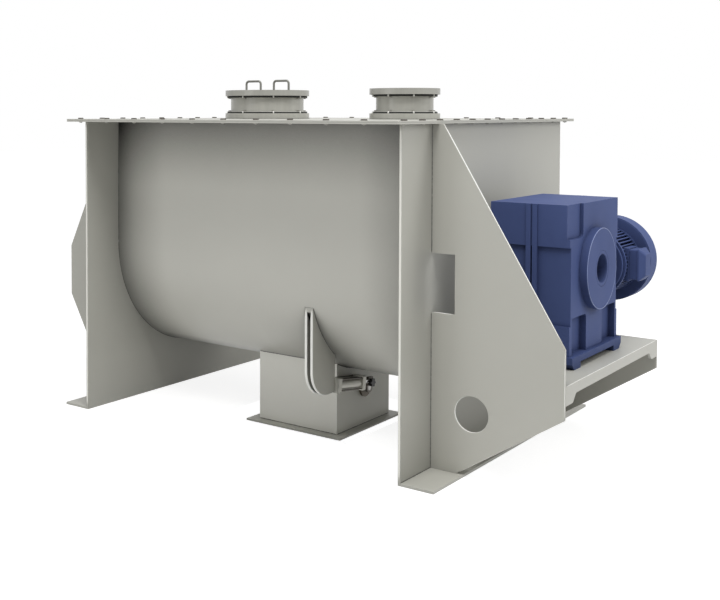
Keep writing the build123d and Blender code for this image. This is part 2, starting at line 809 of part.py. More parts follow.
def make_adapter():
    """A stepped ring between the gearbox and the motor."""
    y0 = gear_half + rib_out
    ring = motor_disc(y0, frame_y0, adapter_r)
    ring = ring + motor_disc(y0, y0 + adapter_rim_t, adapter_rim_r)
    ring = ring + motor_disc(frame_y0 - adapter_rim_t, frame_y0, adapter_rim_r)
    return ring - motor_disc(y0 - 1, frame_y0 + 1, motor_shaft_r + hole_clear)


def make_motor_frame():
    body = motor_disc(frame_y0, frame_y1, frame_r)
    fin = block(motor_x + frame_r - fin_root, motor_x + fin_out_r, frame_y0, frame_y1,
                motor_z - fin_t / 2, motor_z + fin_t / 2)
    turn = Pos(motor_x, 0, motor_z)
    back = Pos(-motor_x, 0, -motor_z)
    fins = [turn * Rot(0, 360 * i / fin_count, 0) * back * fin for i in range(fin_count)]
    body = body + fins
    y0 = frame_y0 + box_start
    y1 = y0 + box_wide
    z0 = motor_z - box_high / 2
    z1 = motor_z + box_high / 2
    m = box_seat_margin
    body = body - block(motor_x + frame_r - box_seat_cut, motor_x + fin_out_r + 1, y0 - m, y1 + m, z0 - m, z1 + m)
    body = body + block(motor_x + frame_r - box_seat_root, motor_x + fin_out_r, y0, y1, z0, z1)
    return body - motor_disc(frame_y0 - 1, frame_y1 + 1, motor_shaft_r + hole_clear)


def make_end_shield():
    """The motor's rear shield, which closes the fan cowl's mouth."""
    disc = motor_disc(frame_y1, shield_y1, cowl_r - cowl_t - seat_gap)
    return disc - motor_disc(frame_y1 - 1, shield_y1 + 1, motor_shaft_r + run_clear)


def make_cowl():
    """A sheet cowl with rings and spokes over the air intake."""
    drum = motor_disc(cowl_y0, cowl_y1, cowl_r) - motor_disc(cowl_y0 - 1, cowl_y1 - cowl_t, cowl_r - cowl_t)
    outer = cowl_r - 3 * grille_bar
    step = (outer - grille_inner_r) / grille_rings
    cuts = []
    for i in range(grille_rings):
        r0 = grille_inner_r + step * i
        slot = motor_disc(cowl_y1 - 2 * cowl_t, cowl_y1 + 1, r0 + step - grille_bar)
        cuts.append(slot - motor_disc(cowl_y1 - 2 * cowl_t - 1, cowl_y1 + 2, r0))
    for cut in cuts:
        drum = drum - (cut - grille_spoke_solid())
    return drum


def grille_spoke_solid():
    turn = Pos(motor_x, 0, motor_z)
    bar = Pos(0, cowl_y1, 0) * Box(2 * cowl_r, 6 * cowl_t, grille_bar)
    return [turn * Rot(0, 180 * i / (grille_spokes / 2), 0) * bar for i in range(grille_spokes // 2)]


def make_motor_rotor():
    """The motor's own shaft with its fan."""
    fan_y0 = shield_y1 + cowl_overlap
    shaft = motor_disc(frame_y0, fan_y0 + fan_len, motor_shaft_r)
    hub = motor_disc(fan_y0, fan_y0 + fan_len, fan_hub_r)
    plate = motor_disc(fan_y0, fan_y0 + fan_plate_t, fan_r)
    turn = Pos(motor_x, fan_y0 + fan_len / 2, motor_z)
    blade = Pos((fan_hub_r + fan_r) / 2, 0, 0) * Box(fan_r - fan_hub_r + 4, fan_len, fan_plate_t)
    blades = [turn * Rot(0, 360 * i / fan_blades, 0) * blade for i in range(fan_blades)]
    return shaft + hub + plate + blades


def make_terminal_box():
    y0 = frame_y0 + box_start
    x0 = motor_x + fin_out_r
    x1 = motor_x + box_out
    z0 = motor_z - box_high / 2
    z1 = motor_z + box_high / 2
    body = block(x0, x1 - box_lid_t, y0 + box_lip, y0 + box_wide - box_lip, z0 + box_lip, z1 - box_lip)
    lid = block(x1 - box_lid_t, x1, y0, y0 + box_wide, z0, z1)
    lid = chamfer(lid.edges().filter_by(Axis.Y).group_by(Axis.X)[-1], box_chamfer)
    return body + lid


parts = {
    "trough_shell": make_trough(),
    "trough_rim": make_rim(),
    "drive_end_plate": make_end_plate(drive_inner),
    "idle_end_plate": make_end_plate(idle_outer),
    "drive_foot": block(0, foot_width, -end_half_width, end_half_width, 0, foot_t),
    "idle_foot": block(idle_outer - foot_width, idle_outer, -end_half_width, end_half_width, 0, foot_t),
    "near_gusset": make_near_gusset(),
    "far_gusset": make_far_gusset(),
    "idle_gussets": make_idle_gussets(),
    "drive_platform": make_platform(),
    "lid_plate": make_lid(),
    "lid_gasket": make_lid_gasket(),
    "lid_bolts": make_lid_bolts(),
    "manhole_pad": make_pad(manhole_x, manhole_neck_r, manhole_flange_r),
    "manhole_neck": make_neck(manhole_x, manhole_neck_r),
    "manhole_gaskets": make_nozzle_gaskets(manhole_x, manhole_neck_r),
    "manhole_cover": make_cover(manhole_x, manhole_neck_r, manhole_flange_r),
    "manhole_handles": as_group(make_handle(manhole_x + side * handle_pitch / 2) for side in (-1, 1)),
    "manhole_cover_bolts": make_cover_bolts(manhole_x, manhole_neck_r),
    "manhole_base_bolts": make_base_bolts(manhole_x, manhole_neck_r),
    "inlet_pad": make_pad(inlet_x, inlet_neck_r, inlet_flange_r),
    "inlet_neck": make_neck(inlet_x, inlet_neck_r),
    "inlet_gaskets": make_nozzle_gaskets(inlet_x, inlet_neck_r),
    "inlet_cover": make_cover(inlet_x, inlet_neck_r, inlet_flange_r),
    "inlet_cover_bolts": make_cover_bolts(inlet_x, inlet_neck_r),
    "inlet_base_bolts": make_base_bolts(inlet_x, inlet_neck_r),
    "outlet_box": make_outlet_box(),
    "outlet_flange": make_outlet_flange(),
    "outlet_throat": make_throat(),
    "flap_blade": make_flap_blade(),
    "flap_shaft": make_flap_shaft(),
    "flap_bushes": make_bushes(),
    "flap_lever": make_lever(),
    "lock_knob": make_knob(),
    "bracket_cheeks": make_cheeks(),
    "bracket_cap": make_cheek_cap(),
    "cylinder_mount": make_mount(),
    "cylinder_caps": make_cylinder_caps(),
    "cylinder_barrel": make_barrel(),
    "cylinder_tie_rods": make_tie_rods(),
    "piston_rod": make_piston_rod(),
    "rod_eye": make_rod_eye(),
    "rotor_shaft": make_shaft(),
    "rotor_arms": make_arms(),
    "outer_ribbon_drive": as_group(make_ribbon(outer_ribbon_r, outer_ribbon_w, 1, True)),
    "outer_ribbon_idle": as_group(make_ribbon(outer_ribbon_r, outer_ribbon_w, 1, False)),
    "inner_ribbon_drive": make_inner_ribbon(True),
    "inner_ribbon_idle": make_inner_ribbon(False),
    "drive_bearing": make_bearing(0, 1),
    "idle_bearing": make_bearing(idle_outer, -1),
    "gearbox_housing": make_gearbox(),
    "hollow_shaft": make_hollow_shaft(),
    "motor_adapter": make_adapter(),
    "motor_frame": make_motor_frame(),
    "motor_end_shield": make_end_shield(),
    "fan_cowl": make_cowl(),
    "motor_rotor": make_motor_rotor(),
    "terminal_box": make_terminal_box(),
}
for name, solid in parts.items():
    save(solid, name)
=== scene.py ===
# %% [markdown]
# A horizontal ribbon mixer, dressed for its portrait. The imported model brings every solid in its real
# place. This lesson adds what a shop adds after the cutting and turning: weld beads, chamfered bolts,
# seals, cooling fins and paint. It also adds bright edges, which are painted highlights, and painted
# shade in the corners. First the frame is loaded.

# %% Load the frame
import json
import math
import bmesh
import bpy
import numpy as np
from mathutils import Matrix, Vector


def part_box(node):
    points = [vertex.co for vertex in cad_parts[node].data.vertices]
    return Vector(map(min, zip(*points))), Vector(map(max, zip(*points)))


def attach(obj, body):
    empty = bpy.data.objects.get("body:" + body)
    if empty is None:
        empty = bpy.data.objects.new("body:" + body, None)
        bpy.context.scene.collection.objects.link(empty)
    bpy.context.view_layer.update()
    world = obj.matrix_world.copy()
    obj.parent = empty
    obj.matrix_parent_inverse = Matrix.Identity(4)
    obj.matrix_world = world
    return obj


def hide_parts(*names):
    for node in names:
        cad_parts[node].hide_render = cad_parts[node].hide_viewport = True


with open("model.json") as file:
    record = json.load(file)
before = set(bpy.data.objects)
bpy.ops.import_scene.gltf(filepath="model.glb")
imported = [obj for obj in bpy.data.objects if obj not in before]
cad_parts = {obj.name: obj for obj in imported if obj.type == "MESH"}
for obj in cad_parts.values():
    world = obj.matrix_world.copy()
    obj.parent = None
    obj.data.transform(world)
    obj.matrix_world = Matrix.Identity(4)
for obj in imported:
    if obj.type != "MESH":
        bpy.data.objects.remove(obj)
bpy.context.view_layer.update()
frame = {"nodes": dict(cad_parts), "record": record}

nodes = frame["nodes"]
scene = bpy.context.scene


# %% [markdown]
# Many sizes are read back from the nodes' boxes, so that a bead or a screw follows its
# carrier if the model changes. The helper gives a node's box as two numpy corners.

# %% Read places from the frame
def corners(node):
    """Lowest and highest corner of a node as numpy arrays, in metres."""
    low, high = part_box(node)
    return np.array(low), np.array(high)


shaft_low, shaft_high = corners("rotor_shaft")
axis_z = (shaft_low[2] + shaft_high[2]) / 2
trough_low, trough_high = corners("trough_shell")
trough_r = trough_high[1]
drive_x = corners("drive_end_plate")[1][0]
idle_x = corners("idle_end_plate")[0][0]
feet_z = corners("drive_foot")[0][2]
print("shaft height over the feet", round(axis_z - feet_z, 3), "trough radius", round(trough_r, 3))


# %% [markdown]
# The photograph was taken with a long lens whose film plane is shifted, as in product
# pictures where upright edges stay upright. The camera stands to the right of the
# machine, just above the lid's height. The lens comes from the focal length in pixels.

# %% Camera
picture_w, picture_h = 720, 600
focal_px = 1081.7
axis_px = (215.8, 146.7)
camera_spot = (3.0296, -4.7631, 1.6125)
camera_turn = math.radians(39.129)
camera_dip = math.radians(1.847)

lens = bpy.data.cameras.new("portrait_lens")
lens.sensor_fit = "HORIZONTAL"
lens.sensor_width = 36.0
lens.lens = focal_px / picture_w * lens.sensor_width
lens.shift_x = (picture_w / 2 - axis_px[0]) / picture_w
lens.shift_y = (axis_px[1] - picture_h / 2) / picture_w
lens.clip_end = 100.0
camera = bpy.data.objects.new("portrait_camera", lens)
camera.location = camera_spot
camera.rotation_euler = (math.pi / 2 - camera_dip, 0.0, camera_turn)
scene.collection.objects.link(camera)
scene.camera = camera
print("lens", round(lens.lens, 1), "mm, shift", round(lens.shift_x, 3), round(lens.shift_y, 3))


# %% [markdown]
# Paint and metal are made from a few shader nodes each. A base colour is broken up by
# slow noise, because sprayed paint is never quite even, and a finer noise drives a small
# bump, which is the orange peel of paint or the skin of a casting. Object coordinates
# keep the pattern fixed to the piece, at real scale, since all pieces sit at the origin.
# Painted textures would need unwrapped surfaces, and noise needs none.

# %% Screen colours in light
def linear(colour):
    """Turn a screen colour into the linear values that a shader takes."""
    return tuple(((c + 0.055) / 1.055) ** 2.4 if c > 0.04045 else c / 12.92 for c in colour)


print("half grey on the screen is", round(linear((0.5,))[0], 3), "of full light")

# %% Finish
class Finish:
    """A principled material that grows node by node."""

    def __init__(self, name, colour, roughness, metallic=0.0, shine=0.5):
        self.material = bpy.data.materials.new(name)
        self.material.use_nodes = True
        self.tree = self.material.node_tree
        self.shader = self.tree.nodes["Principled BSDF"]
        self.shader.inputs["Base Color"].default_value = (*linear(colour), 1.0)
        self.shader.inputs["Roughness"].default_value = roughness
        self.shader.inputs["Metallic"].default_value = metallic
        self.shader.inputs["Specular IOR Level"].default_value = shine
        self.colour = linear(colour)
        self.place = self.tree.nodes.new("ShaderNodeTexCoord").outputs["Object"]
        self.normal = None

    def join(self, a, b):
        """Link one socket to another."""
        self.tree.links.new(a, b)

    def stretched(self, scale):
        """Coordinates stretched along an axis, for brushed or turned marks."""
        mapping = self.tree.nodes.new("ShaderNodeMapping")
        mapping.inputs["Scale"].default_value = scale
        self.join(self.place, mapping.inputs["Vector"])
        return mapping.outputs["Vector"]

    def noise(self, scale, detail=3.0, place=None):
        """A noise of that many features a metre."""
        node = self.tree.nodes.new("ShaderNodeTexNoise")
        node.inputs["Scale"].default_value = scale
        node.inputs["Detail"].default_value = detail
        self.join(place or self.place, node.inputs["Vector"])
        return node.outputs["Fac"]

    def mottle(self, scale, spread, detail=3.0, place=None):
        """Let the base colour drift lighter and darker by the given share."""
        ramp = self.tree.nodes.new("ShaderNodeValToRGB")
        low = tuple(c * (1 - spread) for c in self.colour)
        high = tuple(min(1.0, c * (1 + spread)) for c in self.colour)
        ramp.color_ramp.elements[0].position = 0.3
        ramp.color_ramp.elements[0].color = (*low, 1.0)
        ramp.color_ramp.elements[1].position = 0.7
        ramp.color_ramp.elements[1].color = (*high, 1.0)
        self.join(self.noise(scale, detail, place), ramp.inputs["Fac"])
        self.join(ramp.outputs["Color"], self.shader.inputs["Base Color"])
        return self

    def painted_shade(self, reach, darkest, from_share=0.0):
        """Paint shade into the colour: darken it in corners and under overhangs, down to darkest where no
        more than from_share of the sky within reach is open."""
        hidden = self.tree.nodes.new("ShaderNodeAmbientOcclusion")
        hidden.samples = 16
        hidden.inputs["Distance"].default_value = reach
        share = self.tree.nodes.new("ShaderNodeMapRange")
        share.inputs["From Min"].default_value = from_share
        share.inputs["To Min"].default_value = darkest
        share.inputs["To Max"].default_value = 1.0
        self.join(hidden.outputs["AO"], share.inputs["Value"])
        blend = self.tree.nodes.new("ShaderNodeMix")
        blend.data_type = "RGBA"
        blend.blend_type = "MULTIPLY"
        blend.inputs["Factor"].default_value = 1.0
        colour = self.shader.inputs["Base Color"].links[0].from_socket
        self.join(colour, blend.inputs["A"])
        self.join(share.outputs["Result"], blend.inputs["B"])
        self.join(blend.outputs["Result"], self.shader.inputs["Base Color"])
        return self

    def gloss_drift(self, scale, low, high, place=None):
        """Let the roughness wander between two values."""
        span = self.tree.nodes.new("ShaderNodeMapRange")
        span.inputs["To Min"].default_value = low
        span.inputs["To Max"].default_value = high
        self.join(self.noise(scale, 2.0, place), span.inputs["Value"])
        self.join(span.outputs["Result"], self.shader.inputs["Roughness"])
        return self

    def bump(self, scale, height, strength=0.3, detail=3.0, place=None):
        """Raise the surface by a noise of that height, in metres."""
        node = self.tree.nodes.new("ShaderNodeBump")
        node.inputs["Strength"].default_value = strength
        node.inputs["Distance"].default_value = height
        self.join(self.noise(scale, detail, place), node.inputs["Height"])
        if self.normal is not None:
            self.join(self.normal, node.inputs["Normal"])
        self.normal = node.outputs["Normal"]
        self.join(self.normal, self.shader.inputs["Normal"])
        return self

    def coat(self, weight, roughness):
        """Lay a clear coat over it all."""
        self.shader.inputs["Coat Weight"].default_value = weight
        self.shader.inputs["Coat Roughness"].default_value = roughness
        return self


# %% [markdown]
# The body is painted a warm grey, satin rather than glossy, over welded plate. The gear
# motor wears a slate blue over rough castings, and the rotor inside is brushed steel.
# These four are built up from several layers, so each has its own function. The paints carry painted
# shade, darker where the sky is hidden, and some pieces take lighter or darker copies of the grey that
# stand in for light and shade.

# %% Layered finishes
def body_paint(name, colour, reach, darkest, from_share=0.0):
    """Satin paint with painted shade: darker where the sky within reach is hidden."""
    finish = Finish(name, colour, roughness=0.45, shine=0.3)
    finish.mottle(scale=2.2, spread=0.015).painted_shade(reach, darkest, from_share)
    finish.gloss_drift(scale=6.0, low=0.42, high=0.50)
    return finish.bump(scale=420.0, height=0.0003, strength=0.08).coat(0.15, 0.25).material


def nozzle_painted_shade(name, colour):
    """Glossier paint with upright streaks, as on a rolled neck, and a little painted shade in corners."""
    finish = Finish(name, colour, roughness=0.38, shine=0.4)
    streaks = finish.stretched((30.0, 30.0, 2.0))
    finish.mottle(scale=1.0, spread=0.07, place=streaks).painted_shade(reach=0.05, darkest=0.7)
    return finish.bump(scale=420.0, height=0.0003, strength=0.08).coat(0.3, 0.15).material


def drive_paint():
    """Dull paint over a rough casting, with painted shade in its corners."""
    finish = Finish("drive_paint", (0.285, 0.338, 0.512), roughness=0.55, shine=0.1)
    finish.mottle(scale=5.0, spread=0.05).painted_shade(reach=0.12, darkest=0.35)
    finish.gloss_drift(scale=9.0, low=0.5, high=0.62)
    return finish.bump(scale=160.0, height=0.0006, strength=0.22, detail=5.0).material


def rotor_steel():
    """Steel brushed along the rotor's axis."""
    finish = Finish("rotor_steel", (0.640, 0.635, 0.620), roughness=0.34, metallic=0.95)
    marks = finish.stretched((8.0, 60.0, 60.0))
    finish.mottle(scale=3.0, spread=0.06)
    return finish.bump(scale=20.0, height=0.0002, strength=0.25, detail=4.0, place=marks).material


finishes = {
    "body_paint": body_paint("body_paint", (0.725, 0.722, 0.690), 0.06, 0.75),
    "plate_paint": body_paint("plate_paint", (0.722, 0.719, 0.687), 0.25, 0.68),
    # Trough: a lighter grey with strong painted shade, darkest under the lid where the sky is hidden.
    "trough_painted_shade": body_paint("trough_painted_shade", (0.790, 0.787, 0.755), 0.34, 0.0, from_share=0.25),
    # A near-white copy of the body grey: painted light on the outlet box, and a soft painted highlight on
    # the end plates' upright edges.
    "pale_painted_light": body_paint("pale_painted_light", (0.930, 0.927, 0.895), 0.04, 0.85),
    # The nozzles and, more so, the covers take darker copies of the grey, as painted shade.
    "nozzle_painted_shade": nozzle_painted_shade("nozzle_painted_shade", (0.690, 0.687, 0.656)),
    "cover_painted_shade": nozzle_painted_shade("cover_painted_shade", (0.630, 0.627, 0.600)),
    "drive_paint": drive_paint(),
    "rotor_steel": rotor_steel(),
}
print("layered finishes", len(finishes))


# %% [markdown]
# All other finishes differ only in their numbers: a colour that drifts a little, and a
# fine bump. Each row holds the colour, the roughness, how metallic it is, the drift's
# scale and spread, and the bump's scale, height, strength and, for iron, its detail.

# %% Plain finishes
plain_looks = {
    "raw_weld": ((0.400, 0.398, 0.380), 0.45, 0.30, (90.0, 0.12), (500.0, 0.0004, 0.4)),
    "edge_painted_highlight": ((0.980, 0.980, 0.960), 0.35, 0.00, (25.0, 0.03), (700.0, 0.0001, 0.1)),
    "zinc_bolts": ((0.560, 0.550, 0.525), 0.42, 0.75, (60.0, 0.10), (300.0, 0.0002, 0.2)),
    "bar_steel": ((0.480, 0.478, 0.455), 0.35, 0.40, (60.0, 0.05), (500.0, 0.0001, 0.2)),
    "dark_bolt": ((0.380, 0.360, 0.335), 0.45, 0.50, (80.0, 0.12), (400.0, 0.0002, 0.3)),
    "bright_clip": ((0.860, 0.860, 0.840), 0.30, 0.20, (80.0, 0.05), (400.0, 0.0001, 0.2)),
    "pale_blue_and_painted_highlight": ((0.520, 0.570, 0.730), 0.40, 0.00, (40.0, 0.05), (300.0, 0.0002, 0.2)),
    "gasket": ((0.110, 0.110, 0.105), 0.70, 0.00, (40.0, 0.10), (500.0, 0.0002, 0.3)),
    "pale_gasket": ((0.600, 0.595, 0.565), 0.60, 0.00, (40.0, 0.05), (500.0, 0.0001, 0.2)),
    "brass_bush": ((0.330, 0.300, 0.255), 0.45, 0.60, (30.0, 0.06), (200.0, 0.0001, 0.3)),
    "knob_black": ((0.120, 0.120, 0.125), 0.45, 0.00, (50.0, 0.08), (700.0, 0.0002, 0.3)),
    "cylinder_alloy": ((0.720, 0.715, 0.680), 0.36, 0.55, (25.0, 0.03), (400.0, 0.0001, 0.2)),
    "bright_rod": ((0.780, 0.780, 0.770), 0.16, 1.00, (18.0, 0.02), (500.0, 0.00005, 0.2)),
    "bearing_iron": ((0.500, 0.495, 0.470), 0.50, 0.00, (12.0, 0.05), (140.0, 0.0006, 0.3, 5.0)),
    "fan_plastic": ((0.160, 0.160, 0.170), 0.50, 0.00, (30.0, 0.06), (400.0, 0.0002, 0.2)),
}
for name, (colour, roughness, metallic, drift, skin) in plain_looks.items():
    finishes[name] = Finish(name, colour, roughness, metallic).mottle(*drift).bump(*skin).material
print("finishes", len(finishes))


# %% [markdown]
# A solid from CAD has razor edges. Real plate is ground, and its edges catch the light
# as thin bright lines. Three modifiers do that without touching the mesh: Weld joins the
# loose triangles, Bevel rounds the edges, and Weighted Normal keeps the flats flat. Thin
# plates with many small holes stay as cut, because a bevel would crease their faces.

# %% Dress the CAD nodes
slot_of = {part["node"]: part["material_slot"] for part in frame["record"]["subparts"]}
edge_round = {"body_paint": 0.0012, "drive_paint": 0.0025, "zinc_bolts": 0.0006, "rotor_steel": 0.0008,
              "gasket": 0.0004, "bearing_iron": 0.002}
other_round = 0.0006
sharp_angle = math.radians(32)


def dress(obj, material, width, as_cut):
    """Give a solid its finish and, unless it stays as cut, edges rounded by width in metres."""
    obj.data.materials.clear()
    obj.data.materials.append(material)
    obj.data.polygons.foreach_set("use_smooth", np.full(len(obj.data.polygons), not as_cut))
    if as_cut:
        return obj
    weld = obj.modifiers.new("join", "WELD")
    weld.merge_threshold = 0.00001
    bevel = obj.modifiers.new("round", "BEVEL")
    bevel.width = width
    bevel.segments = 2
    bevel.limit_method = "ANGLE"
    bevel.angle_limit = sharp_angle
    bevel.use_clamp_overlap = True
    flats = obj.modifiers.new("flats", "WEIGHTED_NORMAL")
    flats.weight = 80
    flats.keep_sharp = True
    return obj


# Some pieces take the lighter or darker copies of the grey above, which are painted light and shade.
own_finish = dict.fromkeys(("manhole_pad", "manhole_neck", "inlet_pad", "inlet_neck"), "nozzle_painted_shade")
own_finish.update(dict.fromkeys(("manhole_cover", "inlet_cover"), "cover_painted_shade"))
own_finish.update(dict.fromkeys(("drive_end_plate", "idle_end_plate"), "plate_paint"))
own_finish.update(dict.fromkeys(("flap_lever", "rod_eye", "cylinder_tie_rods"), "dark_bolt"))
own_finish.update(trough_shell="trough_painted_shade", outlet_box="pale_painted_light", manhole_handles="bar_steel")
drilled_plates = ("lid_plate", "lid_gasket", "trough_rim")
for node, obj in nodes.items():
    slot = slot_of[node]
    finish = finishes[own_finish.get(node, slot)]
    dress(obj, finish, edge_round.get(slot, other_round), node in drilled_plates)
print("dressed", len(nodes))


# %% [markdown]
# The machine is a weldment. Along every inside corner runs a bead of weld, a few
# millimetres thick, with small ripples where the pool froze. A bead is a tube whose
# radius swells and shrinks along its path and closes to a point at both ends. Its paths
# are straight lines and arcs, worked out from the nodes' own boxes. A bump texture would
# be less work, but it would not catch the light along the seam as a real bead does.

# %% Paths
X, Y, Z = np.eye(3)
bead_r, bead_step, bead_ripple = 0.003, 0.006, 0.12
fewest_points = 6


def line(start, end, step):
    """Points from start to end, about one each step: start + u * (end - start)."""
    start, end = np.array(start, float), np.array(end, float)
    count = max(fewest_points, int(np.linalg.norm(end - start) / step))
    return start + np.linspace(0, 1, count)[:, None] * (end - start)


def arc_x(x, centre_z, radius, first, last, step):
    """An arc in an upright plane at that x: y = r sin a, z = centre - r cos a."""
    angle = np.linspace(first, last, int(radius * abs(last - first) / step))
    across, up = radius * np.sin(angle), centre_z - radius * np.cos(angle)
    return np.stack([np.full(len(angle), x), across, up], axis=1)


def ring(centre, radius, first_axis, second_axis, count):
    """A full turn without its last point: c + r cos a * e1 + r sin a * e2."""
    angle = np.linspace(0, 2 * np.pi, count, endpoint=False)[:, None]
    return np.array(centre) + radius * (np.cos(angle) * first_axis + np.sin(angle) * second_axis)


print("points in a metre of bead", len(line(0 * X, X, bead_step)))

# %% Surfaces along a path
rng = np.random.default_rng(7)
tip_points = 2.0


def grid_quads(rows, columns, round_u=False, round_v=False):
    """Quads of a rows by columns grid, joined round either way if asked."""
    i, j = np.meshgrid(np.arange(rows if round_u else rows - 1),
                       np.arange(columns if round_v else columns - 1), indexing="ij")
    here, there = i * columns, (i + 1) % rows * columns
    k = (j + 1) % columns
    return np.stack([here + j, here + k, there + k, there + j], axis=-1).reshape(-1, 4)


def carried(path, normal, high, wide, closed=False, ripple=0.0, sides=8):
    """An oval carried along a path: p + s (high cos f * n + wide sin f * b), with b the
    plate's normal, n = t x b, and s = 1 with a ripple. An open path ends in points."""
    along = np.roll(path, -1, 0) - np.roll(path, 1, 0) if closed else np.gradient(path, axis=0)
    along = along / np.linalg.norm(along, axis=1, keepdims=True)
    across = np.cross(along, normal)
    swell = 1 + ripple * rng.standard_normal(len(path))
    if not closed:
        from_end = np.minimum(np.arange(len(path)), np.arange(len(path))[::-1])
        swell = swell * np.sqrt(np.clip(from_end / tip_points, 0, 1))
    turn = np.linspace(0, 2 * np.pi, sides, endpoint=False)
    cosine, sine = np.cos(turn)[None, :, None], np.sin(turn)[None, :, None]
    oval = high * cosine * across[:, None, :] + wide * sine * normal
    points = path[:, None, :] + swell[:, None, None] * oval
    return points.reshape(-1, 3), grid_quads(len(path), sides, round_u=closed, round_v=True)


def joined(pieces):
    """Stack several (points, quads) pairs into one pair."""
    offsets = np.cumsum([0] + [len(points) for points, _ in pieces[:-1]])
    return (np.concatenate([points for points, _ in pieces]),
            np.concatenate([quads + offset for (_, quads), offset in zip(pieces, offsets)]))


print("faces of a tube with 100 rings of 8", len(grid_quads(100, 8, round_v=True)))

# %% Mesh objects
def closed_object(name, points, quads, material, smooth=True):
    """A mesh object with its doubles merged and its faces turned outwards."""
    mesh = bpy.data.meshes.new(name)
    mesh.from_pydata(points.tolist(), [], quads.tolist())
    work = bmesh.new()
    work.from_mesh(mesh)
    bmesh.ops.remove_doubles(work, verts=work.verts, dist=0.000002)
    bmesh.ops.dissolve_degenerate(work, edges=work.edges, dist=0.000001)
    bmesh.ops.recalc_face_normals(work, faces=work.faces)
    work.to_mesh(mesh)
    work.free()
    mesh.polygons.foreach_set("use_smooth", np.full(len(mesh.polygons), smooth))
    mesh.materials.append(material)
    obj = bpy.data.objects.new(name, mesh)
    scene.collection.objects.link(obj)
    print(name, "faces", len(mesh.polygons))
    return obj


# %% [markdown]
# The beads run where one plate meets another: the trough at its end plates and rim, the
# feet, gussets and platform at the end plates, the outlet box, and the bracket. Each
# straight bead is a start, an end and a plate's normal. The seams on the round trough
# are arcs, given by their first and last angle from the bottom.

# %% Where the plates meet
sides = (-1, 1)
rim_low_z = corners("trough_rim")[0][2]
drive_in, idle_in = trough_high[0], trough_low[0]
foot_top = corners("drive_foot")[1][2]
foot_y = corners("drive_foot")[1][1]
gusset_out, gusset_in = corners("near_gusset")[0][1], corners("near_gusset")[1][1]
deck_low, deck_high = corners("drive_platform")
box_low, box_high = corners("outlet_box")
flange_top = corners("outlet_flange")[1][2]
cheek_low, cheek_high = corners("bracket_cheeks")
window_low, window_high = feet_z + 0.689, feet_z + 0.945
print("gusset's window from", round(window_low, 3), "to", round(window_high, 3))

# %% Straight beads
straight = []
for x in (drive_in, idle_in):
    straight += [((x, side * trough_r, axis_z), (x, side * trough_r, rim_low_z), X) for side in sides]
for y in (-trough_r, trough_r):
    straight.append(((idle_in, y, rim_low_z), (drive_in, y, rim_low_z), Z))
straight += [((x, -foot_y, foot_top), (x, foot_y, foot_top), Z) for x in (drive_x, idle_x)]
for y in (gusset_out, gusset_in):
    straight += [((drive_x, y, foot_top), (drive_x, y, window_low), X),
                 ((drive_x, y, window_high), (drive_x, y, rim_low_z), X)]
    straight += [((idle_x, side * y, foot_top), (idle_x, side * y, rim_low_z), X) for side in sides]
    straight.append(((drive_x, -y, foot_top), (drive_x, -y, deck_high[2]), X))
deck_corner = (drive_x, deck_low[1], deck_high[2])
straight.append((deck_corner, (deck_high[0], deck_low[1], deck_high[2]), Z))
straight.append((deck_corner, (drive_x, deck_high[1], deck_high[2]), Z))
box_angle = math.asin(box_high[1] / trough_r)
box_seam_z = axis_z - trough_r * math.cos(box_angle)
box_ends = (box_low[0], box_high[0])
for z in (box_seam_z, flange_top):
    for y in (-box_high[1], box_high[1]):
        straight.append(((box_low[0], y, z), (box_high[0], y, z), Z))
straight += [((x, box_low[1], flange_top), (x, box_high[1], flange_top), Z) for x in box_ends]
print("straight beads", len(straight))

# %% Curved beads
curved = [(x, -np.pi / 2, np.pi / 2) for x in (drive_in, idle_in)]
curved += [(x, -box_angle, box_angle) for x in box_ends]
cheek_first = -math.asin(min(1.0, -cheek_low[1] / trough_r))
cheek_last = -math.asin(-cheek_high[1] / trough_r)
curved += [(x, cheek_first, cheek_last) for x in (cheek_low[0], cheek_high[0])]
print("curved beads", len(curved))

# %% Weld beads
pad_steps = 220


def bead(path, normal, closed=False):
    """A rippled round bead along a path on a face with that normal."""
    return carried(path, normal, bead_r, bead_r, closed, bead_ripple)


welds = [bead(line(a, b, bead_step), normal) for a, b, normal in straight]
welds += [bead(arc_x(x, axis_z, trough_r, first, last, bead_step), X) for x, first, last in curved]
for node in ("manhole_pad", "inlet_pad"):
    low, high = corners(node)
    foot = np.array([(low[0] + high[0]) / 2, (low[1] + high[1]) / 2, low[2]])
    path = ring(foot, (high[1] - low[1]) / 2, X, Y, pad_steps)
    welds.append(bead(path, Z, closed=True))
weld_beads = closed_object("weld_beads", *joined(welds), finishes["raw_weld"])
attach(weld_beads, "frame")
print("beads", len(welds))


# %% [markdown]
# The plates' cut edges get a painted highlight: near-white strips for the light that the edges catch.
# Each is a very flat oval carried along the edge, proud by a millimetre at most, with its long axis
# across the plate's thickness. Outer corners get a round line instead, set in so that the machine grows
# no wider. The end plates' upright edges take a paler grey, a softer painted highlight. A painted texture
# along the edges would need a finer mesh than these plates have.

# %% Edges of the near gusset
edge_step = 0.03
proud, upright_proud, corner_r = 0.0010, 0.0005, 0.0012
edge_inset = 0.0006
near_mid_y = (gusset_out + gusset_in) / 2
half_gusset = (gusset_in - gusset_out) / 2 - edge_inset
reach_x = corners("near_gusset")[1][0]
gusset_top_x, gusset_foot_x = drive_x + 0.052, drive_x + 0.121
slant_top, slant_low = feet_z + 0.605, feet_z + 0.321
window_right = drive_x + 0.110
hole_middle, hole_r = (drive_x + 0.190, near_mid_y, feet_z + 0.277), 0.077
hole_steps = 96


def gusset_edge(start, end, normal):
    """A flat strip of painted highlight between two (x, z) points on the near gusset."""
    ends = [(x, near_mid_y, z) for x, z in (start, end)]
    return carried(line(*ends, edge_step), normal, proud, half_gusset)


def corner_edge(start, end, normal):
    """A thin round line of painted highlight along an outer corner."""
    return carried(line(start, end, edge_step), normal, corner_r, corner_r)


